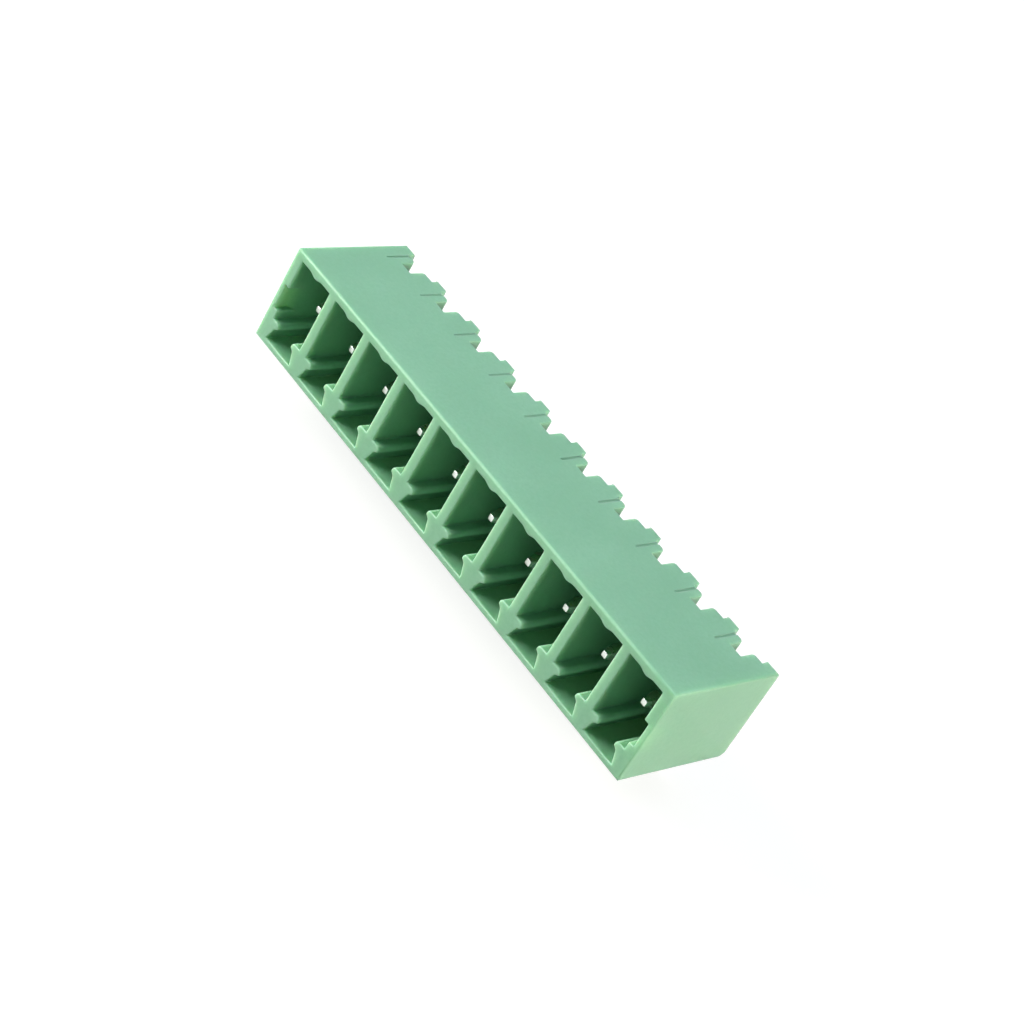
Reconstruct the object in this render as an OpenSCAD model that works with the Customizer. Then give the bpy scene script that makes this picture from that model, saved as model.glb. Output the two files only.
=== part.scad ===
// Right-angle board header of a pluggable terminal block.
// One moulded housing holds a row of plug cavities and is closed at both ends.
// One bent square pin stands in each cavity and leaves at the rear, down into the board.
// X runs along the row, the open front looks towards -Y, and Z points up from the board.
// The origin is the middle of the row of solder pins, on the board's surface.

/* [Row] */
// Number of contacts in the row
poles = 10; // [2:1:12]
// Distance between neighbouring contacts
pitch = 3.81; // [3.5:0.01:5.08]

/* [Housing] */
// Height of the housing above the board
body_h = 6.95; // [6.6:0.05:8.5]
// Distance from the solder pins forward to the open front
front_reach = 8; // [7:0.1:10]
// Distance from the solder pins back to the outer face of the rear ribs
rear_reach = 1.2; // [1:0.05:1.6]
// Thickness of each end wall
end_wall = 0.8; // [0.7:0.05:1.1]
// Thickness of the walls between the cavities
divider = 0.7; // [0.6:0.05:1]
// Thickness of the roof over the cavities
roof = 0.56; // [0.5:0.02:1]
// Thickness of the floor under the cavities
floor_t = 0.46; // [0.4:0.02:0.8]
// Thickness of the wall between a cavity and its rear channel
rear_wall = 1.2; // [0.8:0.1:2]
// Radius of the rounded outer edges
edge_r = 0.18; // [0.05:0.01:0.25]
// Width of the bevel along the lower rear edge
heel_bevel = 0.4; // [0.2:0.05:0.5]

/* [Roof bead] */
// Width of the shallow bead that hangs under the roof of each cavity
bead_w = 1.35; // [1:0.05:2]
// Depth of the bead
bead_d = 0.15; // [0.05:0.01:0.3]

/* [Key ribs] */
// Width of the T-shaped key rib along the foot of each wall
key_w = 2.22; // [1.9:0.02:2.5]
// Height of the key rib's top above the board
key_top = 1.88; // [1.7:0.02:2.2]
// Thickness of the key rib at its tips
key_tip_t = 0.43; // [0.4:0.01:0.6]
// Thickness of the key rib beside its stem
key_root_t = 0.56; // [0.5:0.01:0.8]
// Radius of the key rib's upper edges
key_upper_r = 0.26; // [0.1:0.01:0.3]
// Radius of the key rib's lower edges
key_lower_r = 0.09; // [0.03:0.01:0.1]
// Width of the stem just under the key rib
stem_top_w = 1.68; // [1.4:0.02:1.8]
// Width of the stem at the floor
stem_foot_w = 1.08; // [0.8:0.02:1.3]

/* [End recesses] */
// Lowest point of the recess inside each end wall, above the board
recess_z = 2.48; // [2.3:0.02:3]
// Height of the recess
recess_h = 1.78; // [1:0.02:2.5]
// Depth of the recess into the end wall
recess_d = 0.38; // [0.2:0.02:0.45]
// Length of the recess at its full depth, from the open front
recess_l = 1; // [0.5:0.05:2]
// Length of the ramp behind it
ramp_l = 0.65; // [0.3:0.05:1.5]

/* [Rear] */
// Distance that the rear ribs stand out from the rear face
rib_out = 0.6; // [0.4:0.05:0.8]
// Width of the rear ribs
rib_w = 1.06; // [0.7:0.02:1.2]
// Width of the block at each end of the rear face
end_block_w = 1.04; // [0.8:0.02:1.1]
// Radius of the upright edges of the ribs and channels
rear_edge_r = 0.28; // [0.1:0.02:0.34]
// Clearance on each side of a pin in its rear channel
channel_gap = 0.08; // [0.05:0.01:0.2]

/* [Roof grooves] */
// Width of the hairline groove beside each wall, on top of the roof
groove_w = 0.2; // [0.1:0.02:0.4]
// Depth of the groove
groove_d = 0.06; // [0.04:0.01:0.2]
// Length of the groove forward from the rear face
groove_l = 2; // [1:0.1:4]
// Distance from the middle of a wall to its groove
groove_offset = 0.78; // [0.7:0.02:0.9]

/* [Pins] */
// Width of the square wire
pin_w = 0.8; // [0.6:0.02:0.9]
// Height of the contact leg's middle above the board
pin_z = 3.76; // [3:0.02:4.5]
// Distance of the contact's flat end behind the open front
tip_inset = 1.66; // [1:0.02:3]
// Length of the taper at each end of the wire
taper_l = 0.85; // [0.3:0.05:1.5]
// Width of the contact's flat end
tip_w = 0.42; // [0.3:0.02:0.6]
// Width of the solder tail's flat end
tail_tip_w = 0.45; // [0.3:0.02:0.6]
// Length of the solder tail below the housing
tail_l = 3.1; // [2.5:0.1:4.5]
// Radius inside the bend
bend_r = 0.2; // [0.1:0.02:0.3]
// Clearance around a pin in the rear wall
pin_fit = 0.02; // [0.01:0.01:0.05]

/* [Hidden] */
$fn = 48;
// Overshoot of each cut past the face that it opens
over = 0.1;
arc_steps = 6;
bead_steps = 16;
body_l = poles * pitch + end_wall;
body_w = front_reach + rear_reach;
rear_face = rear_reach - rib_out;
roof_z = body_h - roof;
// A pin's bend starts where the rear wall ends, at the root of the channel
bend_y = -(pin_w / 2 + bend_r);
cavity_back = bend_y - rear_wall;
channel_w = pin_w + 2 * channel_gap;

// Middle of pin i, counted from 1, and of wall k, counted from 0 at the left end
function pin_x(i) = (i - (poles + 1) / 2) * pitch;
function wall_x(k) = (k - poles / 2) * pitch;
function wall_t(k) = k == 0 || k == poles ? end_wall : divider;

// Points along an arc from angle a to angle b
function arc(centre, r, a, b) =
    [for (i = [0 : arc_steps]) let (t = a + (b - a) * i / arc_steps)
        centre + r * [cos(t), sin(t)]];

// Right-hand outline of a cavity, up from the floor past the key rib to the roof
function cavity_side(t) =
    let (tip_x = (pitch - key_w) / 2, tip_z = key_top - key_tip_t)
    concat(
        [[(pitch - stem_foot_w) / 2, floor_t]],
        [[(pitch - stem_top_w) / 2, key_top - key_root_t]],
        arc([tip_x + key_lower_r, tip_z + key_lower_r], key_lower_r, 270, 180),
        arc([tip_x + key_upper_r, key_top - key_upper_r], key_upper_r, 180, 90),
        [[(pitch - t) / 2, key_top], [(pitch - t) / 2, roof_z]]
    );

// Lower outline of the roof's bead, one wave of a cosine, from right to left
function bead_line() =
    [for (i = [0 : bead_steps]) let (t = 1 - 2 * i / bead_steps)
        [t * bead_w / 2, roof_z - bead_d * (1 + cos(180 * t)) / 2]];

function mirrored(points) =
    [for (i = [len(points) - 1 : -1 : 0]) [-points[i][0], points[i][1]]];

// Rectangle from the origin with four round corners
module round_rect(size, r) {
    translate([r, 0])
        square([size[0] - 2 * r, size[1]]);
    translate([0, r])
        square([size[0], size[1] - 2 * r]);
    for (x = [r, size[0] - r], y = [r, size[1] - r])
        translate([x, y])
            circle(r);
}

// Turns a drawing of X and Z into a block between two places along Y
module between_y(from, to) {
    translate([0, to, 0])
        rotate([90, 0, 0])
            linear_extrude(to - from)
                children();
}

// Turns a drawing of Y and Z into a block centred on X
module along_x(length) {
    translate([-length / 2, 0, 0])
        rotate([90, 0, 90])
            linear_extrude(length)
                children();
}

// Rear rib seen from above, its two outer edges round
module rib_plan() {
    translate([-rib_w / 2, 0])
        square([rib_w, rear_reach - rear_edge_r]);
    translate([rear_edge_r - rib_w / 2, 0])
        square([rib_w - 2 * rear_edge_r, rear_reach]);
    for (side = [-1, 1])
        translate([side * (rib_w / 2 - rear_edge_r), rear_reach - rear_edge_r])
            circle(rear_edge_r);
}

// Channel seen from above, flared where the rear face rounds over into it
module channel_plan() {
    translate([-channel_w / 2, bend_y])
        square([channel_w, rear_face - bend_y + over]);
    difference() {
        translate([-channel_w / 2 - rear_edge_r, rear_face - rear_edge_r])
            square([channel_w + 2 * rear_edge_r, rear_edge_r + over]);
        for (side = [-1, 1])
            translate([side * (channel_w / 2 + rear_edge_r), rear_face - rear_edge_r])
                circle(rear_edge_r);
    }
}

// Outline of the housing seen from above
module body_plan() {
    difference() {
        translate([-body_l / 2, -front_reach])
            round_rect([body_l, front_reach + rear_face], edge_r);
        for (i = [1 : poles])
            translate([pin_x(i), 0])
                channel_plan();
    }
    for (k = [1 : poles - 1])
        translate([wall_x(k), 0])
            rib_plan();
    for (x = [-body_l / 2, body_l / 2 - end_block_w])
        translate([x, 0])
            square([end_block_w, rear_reach]);
}

// Outline of the housing seen from its end, with the bevel at the lower rear edge
module body_side() {
    difference() {
        translate([-front_reach, 0])
            round_rect([body_w, body_h], edge_r);
        translate([rear_reach, 0])
            rotate(45)
                square(heel_bevel * sqrt(2), center = true);
    }
}

// Block of the housing before its cavities are cut
module body_block() {
    intersection() {
        linear_extrude(body_h)
            body_plan();
        along_x(body_l)
            body_side();
        between_y(-front_reach, rear_reach)
            translate([-body_l / 2, 0])
                round_rect([body_l, body_h], edge_r);
    }
}

// Plug cavity of pin i, open at the front
module cavity(i) {
    translate([pin_x(i), 0, 0])
        between_y(-front_reach - over, cavity_back)
            polygon(concat(
                cavity_side(wall_t(i)),
                bead_line(),
                mirrored(cavity_side(wall_t(i - 1)))
            ));
}

// Square hole that a pin passes through the rear wall by
module pin_hole(i) {
    hole_w = pin_w + 2 * pin_fit;
    translate([pin_x(i), 0, pin_z])
        between_y(cavity_back - over, bend_y + over)
            square(hole_w, center = true);
}

// Recess and ramp inside the end wall on the given side
module end_recess(side) {
    mouth = -front_reach - over;
    full = -front_reach + recess_l;
    wall_face = body_l / 2 - end_wall;
    translate([0, 0, recess_z])
        linear_extrude(recess_h)
            polygon([
                [side * (wall_face - over), mouth],
                [side * (wall_face + recess_d), mouth],
                [side * (wall_face + recess_d), full],
                [side * wall_face, full + ramp_l],
                [side * (wall_face - over), full + ramp_l]
            ]);
}

// Hairline groove on the roof, to the right of wall k
module roof_groove(k) {
    translate([wall_x(k) + groove_offset - groove_w / 2, rear_face - groove_l, body_h - groove_d])
        cube([groove_w, groove_l + over, groove_d + over]);
}

module housing() {
    color("mediumseagreen")
        difference() {
            body_block();
            for (i = [1 : poles]) {
                cavity(i);
                pin_hole(i);
            }
            for (side = [-1, 1])
                end_recess(side);
            for (k = [0 : poles - 1])
                roof_groove(k);
        }
}

// Square bar up from the origin, tapered on four sides towards its top
module tapered_bar(length, end_w) {
    side = [
        [-pin_w / 2, 0], [pin_w / 2, 0], [pin_w / 2, length - taper_l],
        [end_w / 2, length], [-end_w / 2, length], [-pin_w / 2, length - taper_l]
    ];
    intersection_for (turn = [0, 90])
        rotate([90, 0, turn])
            linear_extrude(pin_w, center = true)
                polygon(side);
}

// One pin: contact leg, bend and solder leg of a single square wire
module pin(i) {
    bend_z = pin_z - pin_w / 2 - bend_r;
    color("gainsboro")
        translate([pin_x(i), 0, 0]) {
            translate([0, bend_y, pin_z])
                rotate([90, 0, 0])
                    tapered_bar(front_reach - tip_inset + bend_y, tip_w);
            translate([0, bend_y, bend_z])
                rotate([90, 0, 90])
                    rotate_extrude(angle = 90)
                        translate([bend_r, -pin_w / 2])
                            square(pin_w);
            translate([0, 0, bend_z])
                rotate([180, 0, 0])
                    tapered_bar(bend_z + tail_l, tail_tip_w);
        }
}

housing();
for (i = [1 : poles]) {
    pin(i);
}
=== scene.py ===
"""Looks of a board header for a pluggable terminal block, worked out round its CAD model.

Lengths are in metres unless a name ends in _mm. The frame is the CAD model's own: X runs along
the row, the open front looks towards -Y, Z points up, and the board's surface is at Z = 0.
"""

import math

import bmesh
import bpy
import numpy as np
from mathutils import Matrix, Vector


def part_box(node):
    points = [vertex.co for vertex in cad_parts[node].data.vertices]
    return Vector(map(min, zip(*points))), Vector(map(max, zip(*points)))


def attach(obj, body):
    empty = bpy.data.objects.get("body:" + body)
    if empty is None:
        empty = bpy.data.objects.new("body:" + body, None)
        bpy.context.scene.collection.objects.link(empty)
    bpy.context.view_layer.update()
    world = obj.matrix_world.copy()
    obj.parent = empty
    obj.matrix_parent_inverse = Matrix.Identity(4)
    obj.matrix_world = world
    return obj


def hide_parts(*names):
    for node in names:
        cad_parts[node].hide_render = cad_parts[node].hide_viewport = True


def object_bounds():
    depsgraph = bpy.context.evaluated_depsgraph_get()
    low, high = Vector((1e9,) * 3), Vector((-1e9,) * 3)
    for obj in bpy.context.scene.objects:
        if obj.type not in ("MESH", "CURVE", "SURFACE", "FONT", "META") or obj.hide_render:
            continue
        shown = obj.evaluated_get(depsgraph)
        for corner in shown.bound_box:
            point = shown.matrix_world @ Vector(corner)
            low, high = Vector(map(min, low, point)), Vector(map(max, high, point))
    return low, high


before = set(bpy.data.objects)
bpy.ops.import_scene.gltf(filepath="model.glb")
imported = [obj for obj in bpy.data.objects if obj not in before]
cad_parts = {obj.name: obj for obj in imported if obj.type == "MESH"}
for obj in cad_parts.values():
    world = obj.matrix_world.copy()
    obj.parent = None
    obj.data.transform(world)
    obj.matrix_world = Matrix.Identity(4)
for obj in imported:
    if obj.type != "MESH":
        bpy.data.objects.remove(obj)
CAD_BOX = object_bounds()

bl_info = {
    "name": "Terminal Block Header",
    "version": (1, 0, 0),
    "blender": (4, 5, 0),
    "location": "View3D > Sidebar > Header",
    "description": "Moulded housing, plated pins and stage of a board header",
    "category": "Add Mesh",
}

HOUSING = "housing"
PINS = sorted((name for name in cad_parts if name.startswith("pin_")),
              key=lambda name: int(name.split("_")[1]))
MM = 0.001

# The housing's mesh: vertices closer than this are one, and faces within this angle are flat
WELD = 0.0001 * MM
FLAT_ANGLE = math.radians(0.4)
# An edge sharper than this is rounded
SHARP_ANGLE = math.radians(35)
# Nearer than this to two of the box's sides, the CAD model has rounded the edge already
BOX_CORNER = 0.25 * MM
# Share of the rounding that the shallow grooves' edges get
GROOVE_SHARE = 0.45
# A pin's edge sharper than this is shaded as an edge
PIN_SHARP_ANGLE = math.radians(50)
# Points along a pin's bend, and along each small quarter circle of its section and ends
BEND_POINTS = 13
ROUND_POINTS = 5


def linear(code):
    """Linear red, green and blue of an sRGB hex colour."""
    value = np.array([int(code[i:i + 2], 16) for i in (0, 2, 4)]) / 255
    return tuple(np.where(value > 0.04045, ((value + 0.055) / 1.055) ** 2.4, value / 12.92))


# ---------------------------------------------------------------- properties

def length(name, description, default_mm, low_mm, high_mm):
    """A length property, given in millimetres and kept in metres."""
    return bpy.props.FloatProperty(
        name=name, description=description, default=default_mm * MM,
        min=low_mm * MM, max=high_mm * MM, unit="LENGTH", precision=5)


def angle(name, description, degrees):
    """An angle property, given in degrees."""
    return bpy.props.FloatProperty(
        name=name, description=description, default=math.radians(degrees), subtype="ANGLE")


def colour(name, description, code):
    """A colour property, given as an sRGB hex value."""
    return bpy.props.FloatVectorProperty(
        name=name, description=description, default=linear(code), subtype="COLOR",
        size=3, min=0, max=1)


class HeaderSizes(bpy.types.PropertyGroup):
    """Sizes of the finish. Every outer size comes from the frame."""

    edge_round: length("Edge rounding", "Radius of the moulding's small edges", 0.09, 0.02, 0.15)
    edge_steps: bpy.props.IntProperty(
        name="Edge steps", description="Facets across a rounded edge", default=3, min=1, max=6)
    bend_radius: length("Bend radius", "Radius inside each pin's bend", 0.2, 0.1, 0.4)
    taper: length("Taper", "Length of the taper at each end of a pin", 0.85, 0.3, 1.5)
    tip_width: length("Tip width", "Width of a contact's flat end", 0.42, 0.3, 0.6)
    tail_width: length("Tail width", "Width of a solder tail's flat end", 0.45, 0.3, 0.6)
    wire_round: length("Wire rounding", "Radius of the square wire's edges", 0.07, 0.02, 0.12)
    cut_round: length("Cut rounding", "Radius round each flat end of a pin", 0.05, 0.02, 0.08)


class HeaderColours(bpy.types.PropertyGroup):
    """Colours of the header and of the paper that it stands on."""

    plastic: colour("Plastic", "Pigment of the moulding", "78AE8A")
    plastic_pale: colour("Pale plastic", "Paler clouds where the melt flowed in", "80B493")
    plating: colour("Plating", "Tin on the pins", "D4D8D2")
    plating_dull: colour("Dull plating", "Oxide and flux marks on the tin", "C0C0BA")
    floor: colour("Floor", "Paper under the header", "929290")


class HeaderStage(bpy.types.PropertyGroup):
    """Where the camera stands and how it looks."""

    azimuth: angle("Azimuth", "Camera's turn from the open front towards +X", 33.14)
    elevation: angle("Elevation", "Camera's height above the horizon", 31.30)
    roll: angle("Roll", "Camera's turn about its own view axis", 31.38)
    distance: length("Distance", "Camera's distance from the point it looks at", 160.16, 50, 900)
    aim: bpy.props.FloatVectorProperty(
        name="Aim", description="Point that the camera looks at", size=3,
        default=(0.92 * MM, -3.20 * MM, 2.95 * MM), subtype="TRANSLATION", unit="LENGTH")
    lens: bpy.props.FloatProperty(
        name="Lens", description="Focal length for a 36 mm wide sensor", default=93.82,
        min=20, max=300, unit="CAMERA")


# ------------------------------------------------------------------ helpers

def add(tree, kind, sockets, **settings):
    """Adds a node to a tree. A socket's value is another node's output to link, or a number."""
    made = tree.nodes.new(kind)
    for name, value in settings.items():
        setattr(made, name, value)
    for name, value in sockets.items():
        if isinstance(value, bpy.types.NodeSocket):
            tree.links.new(value, made.inputs[name])
        else:
            made.inputs[name].default_value = value
    return made


def per_mm(size_mm):
    """Noise scale for a pattern whose grains are size_mm across, on coordinates in metres."""
    return 1 / (size_mm * MM)


def rgba(colour_value):
    """A linear colour with full cover, as colour sockets want it."""
    return (*colour_value, 1)


def new_material(name):
    """A material without nodes, and its tree."""
    material = bpy.data.materials.new(name)
    material.use_nodes = True
    tree = material.node_tree
    tree.nodes.clear()
    return material, tree


def new_piece(name, mesh, material, slot, *nodes):
    """Shows a mesh at the origin as a piece that rides on the root and stands for CAD nodes."""
    piece = bpy.data.objects.new(name, mesh)
    bpy.context.scene.collection.objects.link(piece)
    mesh.materials.clear()
    mesh.materials.append(material)
    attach(piece, "root")
    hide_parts(*nodes)
    return piece


# ---------------------------------------------------------------- materials

def moulded_polyamide(colours):
    """Injection-moulded polyamide 66, pigmented green.

    The pigment is slightly clouded where the melt flowed in, and thin walls let light through.
    The tool's eroded face leaves a fine satin grain, so highlights are broad and soft.
    """
    material, tree = new_material("Moulded polyamide 66")
    place = add(tree, "ShaderNodeTexCoord", {}).outputs["Object"]
    flow = add(tree, "ShaderNodeTexNoise",
               {"Vector": place, "Scale": per_mm(5), "Detail": 3, "Roughness": 0.5})
    speck = add(tree, "ShaderNodeTexNoise",
                {"Vector": place, "Scale": per_mm(0.22), "Detail": 2, "Roughness": 0.6})
    cloud = add(tree, "ShaderNodeMath",
                {0: flow.outputs["Fac"], 1: speck.outputs["Fac"]}, operation="MULTIPLY")
    share = add(tree, "ShaderNodeMapRange",
                {"Value": cloud.outputs[0], "From Min": 0.12, "From Max": 0.38})
    tint = add(tree, "ShaderNodeMix",
               {"Factor": share.outputs["Result"], "A": rgba(colours.plastic),
                "B": rgba(colours.plastic_pale)}, data_type="RGBA")
    sheen = add(tree, "ShaderNodeMapRange",
                {"Value": flow.outputs["Fac"], "From Min": 0.3, "From Max": 0.7,
                 "To Min": 0.40, "To Max": 0.50})
    grain = add(tree, "ShaderNodeTexNoise",
                {"Vector": place, "Scale": per_mm(0.12), "Detail": 3, "Roughness": 0.6})
    bump = add(tree, "ShaderNodeBump",
               {"Height": grain.outputs["Fac"], "Strength": 0.25, "Distance": 0.004 * MM})
    shader = add(tree, "ShaderNodeBsdfPrincipled", {
        "Base Color": tint.outputs["Result"], "Roughness": sheen.outputs["Result"],
        "IOR": 1.53, "Specular IOR Level": 0.6, "Normal": bump.outputs["Normal"],
        "Subsurface Weight": 1.0,
        "Subsurface Radius": (1.0, 0.9, 0.75), "Subsurface Scale": 1.3 * MM})
    add(tree, "ShaderNodeOutputMaterial", {"Surface": shader.outputs["BSDF"]})
    return material


def tinned_brass(colours):
    """Square brass wire with a bright tin plating, drawn, cut and bent.

    Drawing leaves fine lines along the wire, and the soft tin dulls in patches.
    """
    material, tree = new_material("Tin-plated brass")
    place = add(tree, "ShaderNodeTexCoord", {}).outputs["Object"]
    along = add(tree, "ShaderNodeUVMap", {}, uv_map="Wire").outputs["UV"]
    # drawn lines about 1.7 mm long and 0.07 mm wide, on a map in millimetres
    stretched = add(tree, "ShaderNodeMapping", {"Vector": along, "Scale": (0.6, 14, 1)})
    lines = add(tree, "ShaderNodeTexNoise",
                {"Vector": stretched.outputs["Vector"], "Scale": 1.0, "Detail": 3})
    patch = add(tree, "ShaderNodeTexNoise",
                {"Vector": place, "Scale": per_mm(0.9), "Detail": 2, "Roughness": 0.5})
    dull = add(tree, "ShaderNodeMapRange",
               {"Value": patch.outputs["Fac"], "From Min": 0.45, "From Max": 0.75})
    tint = add(tree, "ShaderNodeMix",
               {"Factor": dull.outputs["Result"], "A": rgba(colours.plating),
                "B": rgba(colours.plating_dull)}, data_type="RGBA")
    gloss = add(tree, "ShaderNodeMapRange",
                {"Value": patch.outputs["Fac"], "From Min": 0.3, "From Max": 0.7,
                 "To Min": 0.22, "To Max": 0.32})
    bump = add(tree, "ShaderNodeBump",
               {"Height": lines.outputs["Fac"], "Strength": 0.2, "Distance": 0.003 * MM})
    shader = add(tree, "ShaderNodeBsdfPrincipled", {
        "Base Color": tint.outputs["Result"], "Metallic": 1.0,
        "Roughness": gloss.outputs["Result"], "Normal": bump.outputs["Normal"]})
    add(tree, "ShaderNodeOutputMaterial", {"Surface": shader.outputs["BSDF"]})
    return material


def studio_paper(colours):
    """Matt white paper, lit by the lamps and topped up to white for the eye and for gloss.

    It shows nothing from below, so that the header's underside can be seen.
    """
    eye_glow = 0.8
    gloss_glow = 1.05
    material, tree = new_material("Studio paper")
    place = add(tree, "ShaderNodeTexCoord", {}).outputs["Object"]
    fibre = add(tree, "ShaderNodeTexNoise", {"Vector": place, "Scale": per_mm(1.5), "Detail": 4})
    bump = add(tree, "ShaderNodeBump",
               {"Height": fibre.outputs["Fac"], "Strength": 0.1, "Distance": 0.01 * MM})
    paper = add(tree, "ShaderNodeBsdfDiffuse",
                {"Color": rgba(colours.floor), "Normal": bump.outputs["Normal"]})
    path = add(tree, "ShaderNodeLightPath", {})
    seen = add(tree, "ShaderNodeMath", {0: path.outputs["Is Camera Ray"],
                                        1: path.outputs["Is Transmission Ray"]},
               operation="MAXIMUM")
    white = add(tree, "ShaderNodeMath", {0: seen.outputs[0], 1: eye_glow},
                operation="MULTIPLY")
    level = add(tree, "ShaderNodeMath", {0: path.outputs["Is Glossy Ray"], 1: gloss_glow,
                                         2: white.outputs[0]}, operation="MULTIPLY_ADD")
    glow = add(tree, "ShaderNodeEmission", {"Strength": level.outputs[0]})
    lit = add(tree, "ShaderNodeAddShader", {0: paper.outputs["BSDF"], 1: glow.outputs["Emission"]})
    clear = add(tree, "ShaderNodeBsdfTransparent", {})
    side = add(tree, "ShaderNodeNewGeometry", {})
    shown = add(tree, "ShaderNodeMixShader", {
        0: side.outputs["Backfacing"], 1: lit.outputs["Shader"], 2: clear.outputs["BSDF"]})
    add(tree, "ShaderNodeOutputMaterial", {"Surface": shown.outputs["Shader"]})
    return material


# ------------------------------------------------------------------ shapes

def merged_copy(name, cuts):
    """A CAD node's mesh with its loose triangles welded and its flat faces made whole.

    Seams across X at each cut keep every flat face free of holes, so it can be bevelled. The
    CAD model's own corner normals go, as they belong to its triangles.
    """
    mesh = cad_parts[name].data.copy()
    if "custom_normal" in mesh.attributes:
        mesh.attributes.remove(mesh.attributes["custom_normal"])
    shape = bmesh.new()
    shape.from_mesh(mesh)
    bmesh.ops.remove_doubles(shape, verts=shape.verts, dist=WELD)
    for x in cuts:
        cut = bmesh.ops.bisect_plane(
            shape, geom=[*shape.verts, *shape.edges, *shape.faces], dist=WELD,
            plane_co=(x, 0, 0), plane_no=(1, 0, 0))
        for part in cut["geom_cut"]:
            if isinstance(part, bmesh.types.BMEdge):
                part.seam = True
    bmesh.ops.dissolve_limit(shape, angle_limit=FLAT_ANGLE, verts=shape.verts,
                             edges=shape.edges, delimit={"SEAM"})
    shape.to_mesh(mesh)
    shape.free()
    return mesh


def mark_sharp_edges(mesh, rounding, low, high):
    """Weights for the Bevel modifier: 1 on every sharp edge in the box from low to high.

    The edges of the roof's grooves get GROOVE_SHARE, as the grooves are shallower than the
    rounding. Edges near two of the box's sides keep 0, as the CAD model has rounded them.
    """
    shape = bmesh.new()
    shape.from_mesh(mesh)
    weight = shape.edges.layers.float.new("bevel_weight_edge")
    shallow = {face for face in shape.faces if abs(face.normal.z) < 0.5
               and min(vertex.co.z for vertex in face.verts) > high.z - rounding}
    for edge in shape.edges:
        if len(edge.link_faces) != 2 or edge.calc_face_angle() < SHARP_ANGLE:
            continue
        middle = (edge.verts[0].co + edge.verts[1].co) / 2
        near = [min(middle[i] - low[i], high[i] - middle[i]) < BOX_CORNER for i in range(3)]
        if not shallow.isdisjoint(edge.link_faces):
            edge[weight] = GROOVE_SHARE
        elif sum(near) < 2:
            edge[weight] = 1.0
    shape.to_mesh(mesh)
    shape.free()


def wire_mesh(name, low, high, sizes):
    """One bent pin that fills the box from low to high.

    Its centre line runs back along Y from the contact's end, turns down through a quarter
    circle and runs on along -Z. Round it, at each place, stands a square with round corners:
    corner signs times (half width less rounding), plus unit directions times the rounding.
    The half width grows evenly over each taper, and a quarter circle rounds each flat end.
    """
    half = (high.x - low.x) / 2
    bend = sizes.bend_radius + half
    leg = high.y - half - bend - low.y
    tail = high.z - half - bend - low.z
    total = leg + bend * math.pi / 2 + tail
    turn = np.linspace(0, math.pi / 2, BEND_POINTS)

    # half width along the wire, from the contact's end to the tail's end
    cut = np.linspace(0, math.pi / 2, ROUND_POINTS)
    cap_s = sizes.cut_round * (1 - np.cos(cut))
    cap_drop = sizes.cut_round * (1 - np.sin(cut))
    tip = sizes.tip_width / 2
    foot = sizes.tail_width / 2
    s = np.concatenate([cap_s, [sizes.taper, leg / 2], leg + bend * turn,
                        [total - tail / 2, total - sizes.taper], total - cap_s[::-1]])
    h = np.concatenate([tip - cap_drop, [half, half], np.full(turn.size, half),
                        [half, half], foot - cap_drop[::-1]])

    # centre line and the direction that starts as up and turns towards +Y
    a = np.clip((s - leg) / bend, 0, math.pi / 2)
    down = np.clip(s - leg - bend * math.pi / 2, 0, None)
    centre_y = low.y + np.clip(s, 0, leg) + bend * np.sin(a)
    centre_z = high.z - half - bend + bend * np.cos(a) - down

    # square with round corners, which never meet in the middle of a side
    r = np.minimum(sizes.wire_round, 0.45 * h)
    t = np.linspace(0, math.pi / 2, ROUND_POINTS)
    t = (t[None, :] + np.arange(4)[:, None] * math.pi / 2).ravel()
    sign = np.repeat([[1, 1], [-1, 1], [-1, -1], [1, -1]], ROUND_POINTS, axis=0)
    across = sign[None, :, 0] * (h - r)[:, None] + r[:, None] * np.cos(t)[None, :]
    upward = sign[None, :, 1] * (h - r)[:, None] + r[:, None] * np.sin(t)[None, :]
    points = np.stack([
        (low.x + high.x) / 2 + across,
        centre_y[:, None] + upward * np.sin(a)[:, None],
        centre_z[:, None] + upward * np.cos(a)[:, None],
    ], axis=-1)

    rings, count = across.shape
    i, j = np.meshgrid(np.arange(rings - 1), np.arange(count), indexing="ij")
    k = (j + 1) % count
    quads = np.stack([i * count + j, i * count + k, (i + 1) * count + k, (i + 1) * count + j],
                     axis=-1).reshape(-1, 4)
    ends = [np.arange(count)[::-1].tolist(), (np.arange(count) + (rings - 1) * count).tolist()]
    mesh = bpy.data.meshes.new(name)
    mesh.from_pydata(points.reshape(-1, 3), [], quads.tolist() + ends)

    # "Wire" map in millimetres: U along the wire, V round it
    girth = np.concatenate([[0], np.cumsum(np.hypot(
        np.diff(across[rings // 2], append=across[rings // 2, 0]),
        np.diff(upward[rings // 2], append=upward[rings // 2, 0])))])
    u = np.stack([s[i], s[i], s[i + 1], s[i + 1]], axis=-1).ravel()
    v = np.stack([girth[j], girth[j + 1], girth[j + 1], girth[j]], axis=-1).ravel()
    flat = np.concatenate([u, np.zeros(count), np.full(count, total)])
    round_it = np.concatenate([v, girth[:-1][::-1], girth[:-1]])
    layer = mesh.uv_layers.new(name="Wire")
    layer.data.foreach_set("uv", (np.stack([flat, round_it], axis=-1) / MM).ravel())
    mesh.shade_smooth()
    mesh.set_sharp_from_angle(angle=PIN_SHARP_ANGLE)
    mesh.validate()
    return mesh


# ---------------------------------------------------------------- operators

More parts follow.
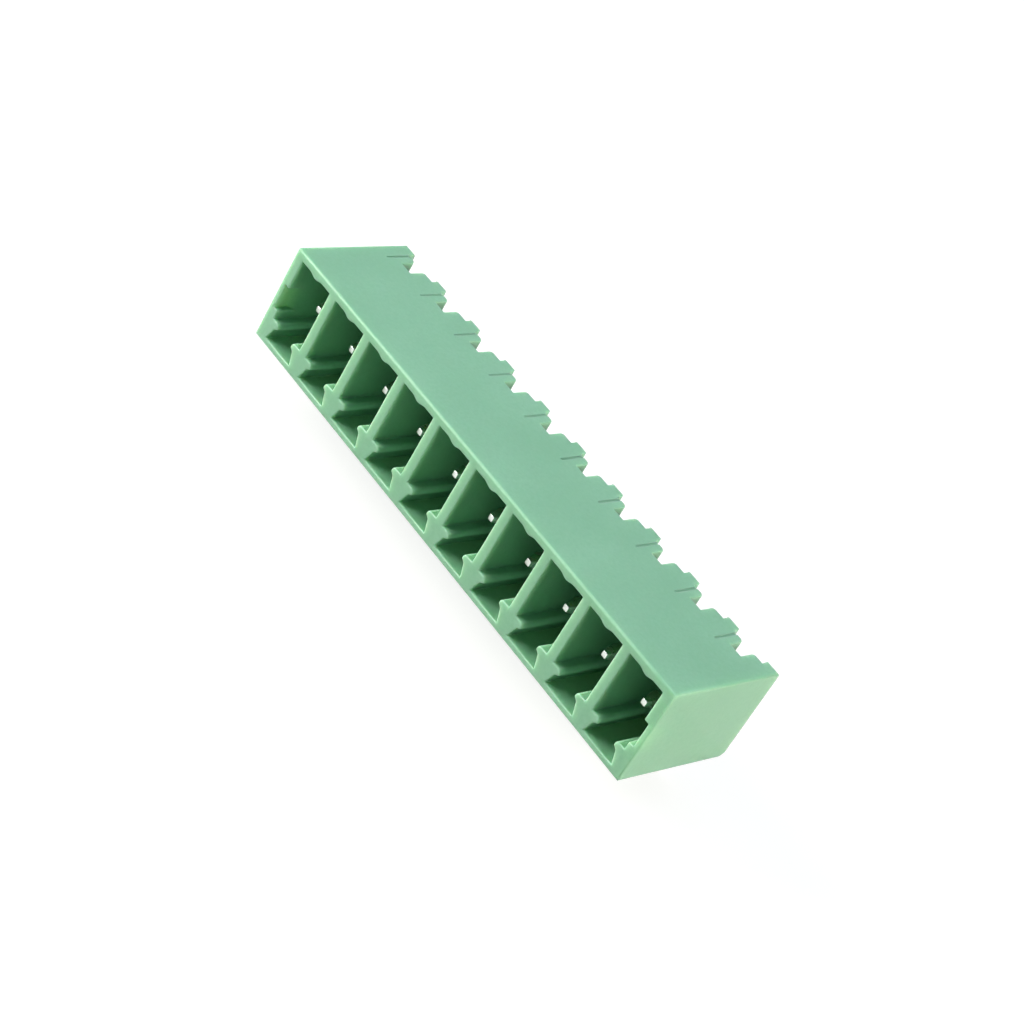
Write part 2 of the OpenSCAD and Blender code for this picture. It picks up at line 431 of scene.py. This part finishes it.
class HEADER_OT_housing(bpy.types.Operator):
    """Makes the moulded housing, with its small edges rounded"""

    bl_idname = "header.housing"
    bl_label = "Housing"

    def execute(self, context):
        sizes = context.scene.header_sizes
        low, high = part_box(HOUSING)
        middles = np.array([(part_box(pin)[0].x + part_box(pin)[1].x) / 2 for pin in PINS])
        walls = (middles[1:] + middles[:-1]) / 2
        mesh = merged_copy(HOUSING, [*middles, *walls])
        mesh.shade_smooth()
        mark_sharp_edges(mesh, sizes.edge_round, low, high)
        piece = new_piece("moulded_housing", mesh,
                          moulded_polyamide(context.scene.header_colours), "housing", HOUSING)
        bevel = piece.modifiers.new("Edges", "BEVEL")
        bevel.limit_method = "WEIGHT"
        bevel.width = sizes.edge_round
        bevel.segments = sizes.edge_steps
        bevel.use_clamp_overlap = False
        flats = piece.modifiers.new("Flats", "WEIGHTED_NORMAL")
        flats.mode = "FACE_AREA"
        flats.weight = 90
        return {"FINISHED"}


class HEADER_OT_pins(bpy.types.Operator):
    """Makes the bent, plated pins"""

    bl_idname = "header.pins"
    bl_label = "Pins"

    def execute(self, context):
        if not PINS:
            raise RuntimeError("the frame has no pins")
        material = tinned_brass(context.scene.header_colours)
        for node in PINS:
            name = node.replace("pin", "contact_pin")
            mesh = wire_mesh(name, *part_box(node), context.scene.header_sizes)
            new_piece(name, mesh, material, "pins", node)
        return {"FINISHED"}


class HEADER_OT_stage(bpy.types.Operator):
    """Makes the floor, the lamps, the world and the camera"""

    bl_idname = "header.stage"
    bl_label = "Stage"

    def execute(self, context):
        scene = context.scene
        self.make_floor(scene)
        self.make_lamps(scene)
        self.make_world(scene)
        self.make_camera(scene)
        scene.view_settings.view_transform = "Standard"
        return {"FINISHED"}

    def make_floor(self, scene):
        """A flat sheet of paper at the height of the solder tails' ends."""
        half_side = 1.5
        corners = np.array([[-1, -1], [1, -1], [1, 1], [-1, 1]]) * half_side
        level = np.full((4, 1), CAD_BOX[0].z)
        mesh = bpy.data.meshes.new("floor")
        mesh.from_pydata(np.hstack([corners, level]), [], [(0, 1, 2, 3)])
        mesh.materials.append(studio_paper(scene.header_colours))
        floor = bpy.data.objects.new("floor", mesh)
        scene.collection.objects.link(floor)

    def make_lamps(self, scene):
        """Square soft boxes, aimed at the origin: name, place, side, watts and colour."""
        lamps = (
            ("top_light", (-0.02, 0.08, 0.31), 0.30, 0.41, "CFE2FF"),
            ("left_light", (-0.25, -0.18, 0.12), 0.24, 2.10, "FFFFF8"),
            ("right_light", (0.31, 0.04, 0.09), 0.22, 1.25, "FFFAE9"),
        )
        for name, place, size, power, code in lamps:
            light = bpy.data.lights.new(name, "AREA")
            light.shape = "SQUARE"
            light.size = size
            light.energy = power
            light.color = linear(code)
            lamp = bpy.data.objects.new(name, light)
            lamp.matrix_world = (Matrix.Translation(place)
                                 @ Vector(place).to_track_quat("Z", "Y").to_matrix().to_4x4())
            scene.collection.objects.link(lamp)

    def make_world(self, scene):
        """White to the eye, bright to gloss and dim to everything else."""
        world = bpy.data.worlds.new("studio")
        world.use_nodes = True
        tree = world.node_tree
        tree.nodes.clear()
        path = add(tree, "ShaderNodeLightPath", {})
        gloss = add(tree, "ShaderNodeMapRange",
                    {"Value": path.outputs["Is Glossy Ray"], "To Min": 0.10, "To Max": 0.85})
        soft = add(tree, "ShaderNodeBackground",
                   {"Color": rgba(linear("DDEAFF")), "Strength": gloss.outputs["Result"]})
        white = add(tree, "ShaderNodeBackground", {"Color": rgba(linear("FFFFFF"))})
        sky = add(tree, "ShaderNodeMixShader", {
            0: path.outputs["Is Camera Ray"], 1: soft.outputs["Background"],
            2: white.outputs["Background"]})
        add(tree, "ShaderNodeOutputWorld", {"Surface": sky.outputs["Shader"]})
        scene.world = world

    def make_camera(self, scene):
        """A camera that looks at the aim, turned by azimuth and elevation and then rolled."""
        stage = scene.header_stage
        azimuth, elevation, roll = stage.azimuth, stage.elevation, stage.roll
        back = Vector((math.sin(azimuth) * math.cos(elevation),
                       -math.cos(azimuth) * math.cos(elevation), math.sin(elevation)))
        level = Vector((math.cos(azimuth), math.sin(azimuth), 0))
        upright = back.cross(level)
        right = level * math.cos(roll) + upright * math.sin(roll)
        up = back.cross(right)
        lens = bpy.data.cameras.new("camera")
        lens.sensor_width = 36
        lens.lens = stage.lens
        lens.clip_start = 0.002
        lens.clip_end = 20
        camera = bpy.data.objects.new("camera", lens)
        turn = Matrix((right, up, back)).transposed().to_4x4()
        camera.matrix_world = Matrix.Translation(Vector(stage.aim) + back * stage.distance) @ turn
        scene.collection.objects.link(camera)
        scene.camera = camera


class HEADER_PT_panel(bpy.types.Panel):
    """Sizes, colours and steps of the header"""

    bl_idname = "HEADER_PT_panel"
    bl_label = "Header"
    bl_space_type = "VIEW_3D"
    bl_region_type = "UI"
    bl_category = "Header"

    def draw(self, context):
        for group in GROUPS:
            column = self.layout.column()
            for name in GROUPS[group].__annotations__:
                column.prop(getattr(context.scene, group), name)
        for step in STEPS:
            self.layout.operator(step.bl_idname)


GROUPS = {"header_sizes": HeaderSizes, "header_colours": HeaderColours,
          "header_stage": HeaderStage}
STEPS = (HEADER_OT_housing, HEADER_OT_pins, HEADER_OT_stage)


def register():
    for kind in (*GROUPS.values(), *STEPS, HEADER_PT_panel):
        bpy.utils.register_class(kind)
    for name, group in GROUPS.items():
        setattr(bpy.types.Scene, name, bpy.props.PointerProperty(type=group))


def unregister():
    for name in GROUPS:
        delattr(bpy.types.Scene, name)
    for kind in reversed((*GROUPS.values(), *STEPS, HEADER_PT_panel)):
        bpy.utils.unregister_class(kind)


def main():
    """Builds the pieces and the stage in order."""
    register()
    bpy.ops.header.housing()
    bpy.ops.header.pins()
    bpy.ops.header.stage()


if __name__ == "__main__":
    main()
